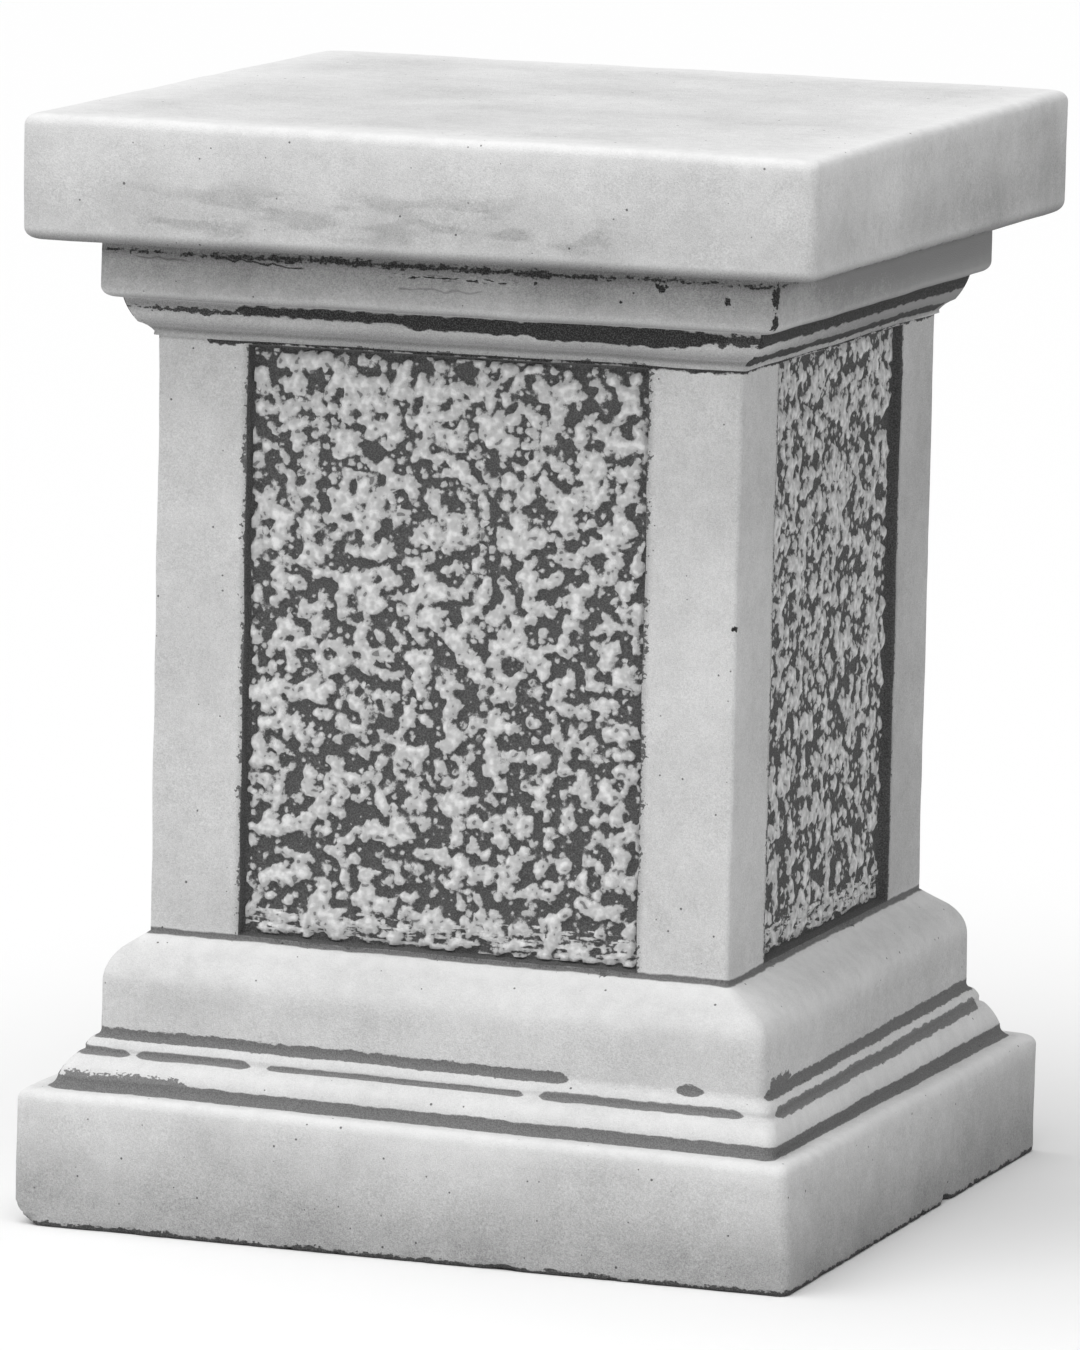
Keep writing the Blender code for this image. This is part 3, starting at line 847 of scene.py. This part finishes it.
specks = specks.math("MAXIMUM", dashes * on_front)

hole_distance, hole_colour = millimetres.node(
    "ShaderNodeTexVoronoi", inputs={"Vector": millimetres, "Scale": 1 / PINHOLE_SPACING},
    output=("Distance", "Color"),
)
hole_size, hole_chance, _ = hole_colour.parts()
pinholes = (hole_size * hole_size * PINHOLE_RADIUS - hole_distance * PINHOLE_SPACING).ramp(0.0, 0.15)
pinholes = pinholes * hole_chance.math("GREATER_THAN", PINHOLES_MISSING)

paleness = PALENESS + (clouds - 0.5) * CLOUDY + (coarse_grain - 0.5) * BLOTCHY
paleness = paleness + (fine_grain - 0.5) * GRAINY + (sand - 0.5) * SANDY
# Painted shade near the ground and under the slab, set by level
for low, high, at_low, at_high in PAINTED_SHADE_STEPS:
    paleness = paleness - z.ramp(low, high, at_low, at_high)
# Painted shade on the rounded edges of the corner strips, darkening towards the sunk panels
paleness = paleness - inside_border.ramp(-3.0, 0.5, 0.0, 0.35)
paleness = paleness - on_right * y.ramp(-100.0, 110.0, 0.0, 0.22) * z.band(*RIGHT_SIDE_LEVELS)
# Painted shade on the right face's cap and fascia, under the slab
paleness = paleness - on_right * y.ramp(-126.0, -20.0, 0.0, 0.30) * z.band(*RIGHT_CAP_SHADE_LEVELS)
stains = z.band(*STAIN_LEVELS) * x.band(*STAIN_SPAN) * streaky.ramp(0.45, 0.62)
paleness = paleness - on_front * stains * STAIN_STRENGTH
colour = mixed(paleness, DULL_STONE, PALE_STONE)
# Arrises, reeds and the shoulder's slope are lightened by wear and by a painted highlight
colour = mixed(wear_and_highlight * coarse_grain.ramp(0.2, 0.8, 0.60, 0.80), colour, WORN_HIGHLIGHT_STONE)
# Groove patina, and the soft bands of painted shade
patina_and_shade_colour = mixed(sand.ramp(0.25, 0.75), GROOVE_PATINA_AND_SHADE, GROOVE_PATINA_AND_SHADE_PALE)
colour = mixed(groove_dirt_and_shade, colour, patina_and_shade_colour)
# Deep black patina, specks and pinholes, and the painted shadow along the foot
patina_and_shade_colour = mixed(sand.ramp(0.35, 0.80), DEEP_PATINA_AND_SHADOW, DEEP_PATINA_AND_SHADOW_PALE)
colour = mixed(deep_dirt_and_shadow.math("MAXIMUM", specks).math("MAXIMUM", pinholes * 0.8), colour, patina_and_shade_colour)
finish_stone(shader, colour, sand * 0.16)

# Roughcast: the same stone inside the panels, where dark patina covers the ground between lumps
# of mortar whose tops have been wiped pale again, with small pits left in them. Painted shade darkens the
# lumps' rims.
GROUND_PATINA = (0.062, 0.062, 0.062, 1.0)
LUMP_STONE = (0.810, 0.810, 0.810, 1.0)
LUMP_DULL_AND_SHADE = (0.520, 0.520, 0.520, 1.0)
PIT_STRENGTH = 0.7

roughcast_stone, shader, start, position, millimetres = make_stone("cast_stone_roughcast")
inside = attribute(start, "inside")
coarse_grain = millimetres.grain(3.0, 1.0)
sand = millimetres.grain(0.5, 0.0)
mortar = roughcast(position, inside)
wiped = (mortar - (sand - 0.5) * 0.6).ramp(-0.25, 0.50)
pits = coarse_grain.ramp(0.64, 0.70)
lump_colour = mixed(coarse_grain.ramp(0.30, 0.62), LUMP_STONE, LUMP_DULL_AND_SHADE)
# Painted shade makes the lumps duller towards their rims, and their sand makes them uneven
lump_colour = mixed((sand - 0.5) * 0.8 + mortar.ramp(0.2, 1.8, 0.75, 0.0), lump_colour, LUMP_DULL_AND_SHADE)
ground_colour = mixed(sand.ramp(0.2, 0.9, 0.0, 0.16), GROUND_PATINA, LUMP_DULL_AND_SHADE)
colour = mixed(1 - wiped * (1 - pits * PIT_STRENGTH), lump_colour, ground_colour)
finish_stone(shader, colour, sand * 0.20)

modifier = pedestal.modifiers.new("hand_cast_relief", "NODES")
modifier.node_group = relief
sockets = {item.name: item.identifier for item in relief.interface.items_tree if item.in_out == "INPUT"}
for name, value in relief_values.items():
    modifier[sockets[name]] = value
modifier[sockets["Stone"]] = stone
modifier[sockets["Roughcast"]] = roughcast_stone
bpy.context.view_layer.update()
finished = bpy.data.meshes.new_from_object(pedestal.evaluated_get(bpy.context.evaluated_depsgraph_get()))
pedestal.modifiers.remove(modifier)
pedestal.data = finished
finished.shade_smooth()
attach(pedestal, "root")
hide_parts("pedestal")

# Floor and light: a plain pale floor under a soft sky, with one large soft lamp high up, in front and
# a little to the left.
FLOOR_HALF = 15.0
FLOOR_COLOUR = (0.870, 0.870, 0.870, 1.0)
FLOOR_ROUGHNESS = 0.9
FLOOR_SPECULAR = 0.1
SKY_STRENGTH = 0.28
LAMP_TOWARDS = Vector((-0.16, -0.34, 0.93))
LAMP_STRENGTH = 3.0
LAMP_SOFTNESS_DEG = 75.0
floor_mesh = bpy.data.meshes.new("floor")
floor_corners = [(FLOOR_HALF * x, FLOOR_HALF * y, 0) for x, y in ((-1, -1), (1, -1), (1, 1), (-1, 1))]
floor_mesh.from_pydata(floor_corners, [], [(0, 1, 2, 3)])
floor = bpy.data.objects.new("floor", floor_mesh)
bpy.context.scene.collection.objects.link(floor)
floor_material = bpy.data.materials.new("pale_floor")
floor_material.use_nodes = True
floor_shader = floor_material.node_tree.nodes["Principled BSDF"]
floor_shader.inputs["Base Color"].default_value = FLOOR_COLOUR
floor_shader.inputs["Roughness"].default_value = FLOOR_ROUGHNESS
floor_shader.inputs["Specular IOR Level"].default_value = FLOOR_SPECULAR
floor_mesh.materials.append(floor_material)

world = bpy.data.worlds.new("soft_sky")
world.use_nodes = True
sky = world.node_tree.nodes["Background"]
sky.inputs["Color"].default_value = (1.0, 1.0, 1.0, 1.0)
sky.inputs["Strength"].default_value = SKY_STRENGTH
bpy.context.scene.world = world
lamp = bpy.data.lights.new("sky_lamp", "SUN")
lamp.energy = LAMP_STRENGTH
lamp.angle = math.radians(LAMP_SOFTNESS_DEG)
lamp_object = bpy.data.objects.new("sky_lamp", lamp)
lamp_object.rotation_euler = LAMP_TOWARDS.to_track_quat("Z", "Y").to_euler()
bpy.context.scene.collection.objects.link(lamp_object)

# Camera: a long lens a little above the pedestal's middle and to its right, as in the photograph. Its
# focal length was found in pixels of a frame with a long side of FRAME_PIXELS.
AZIMUTH, ELEVATION, ROLL = math.radians(19.827), math.radians(8.608), math.radians(1.211)
DISTANCE = 3.7267
SIDEWAYS, AIM_LEVEL = -0.00237, 0.19093
FOCAL_PIXELS = 10158
FRAME_PIXELS = 1350
SENSOR_SIZE = 36.0
to_camera = Vector((
    math.sin(AZIMUTH) * math.cos(ELEVATION), -math.cos(AZIMUTH) * math.cos(ELEVATION), math.sin(ELEVATION)
))
level_right = Vector((math.cos(AZIMUTH), math.sin(AZIMUTH), 0.0))
level_up = to_camera.cross(level_right)
camera_right = math.cos(ROLL) * level_right + math.sin(ROLL) * level_up
camera_up = math.cos(ROLL) * level_up - math.sin(ROLL) * level_right
eye = SIDEWAYS * level_right + Vector((0, 0, AIM_LEVEL)) + to_camera * DISTANCE
camera = bpy.data.cameras.new("camera")
camera.sensor_width = SENSOR_SIZE
camera.lens = FOCAL_PIXELS * SENSOR_SIZE / FRAME_PIXELS
camera_object = bpy.data.objects.new("camera", camera)
turned = Matrix((camera_right, camera_up, to_camera)).transposed().to_4x4()
camera_object.matrix_world = Matrix.Translation(eye) @ turned
bpy.context.scene.collection.objects.link(camera_object)
bpy.context.scene.camera = camera_object
bpy.context.scene.view_settings.view_transform = "Standard"
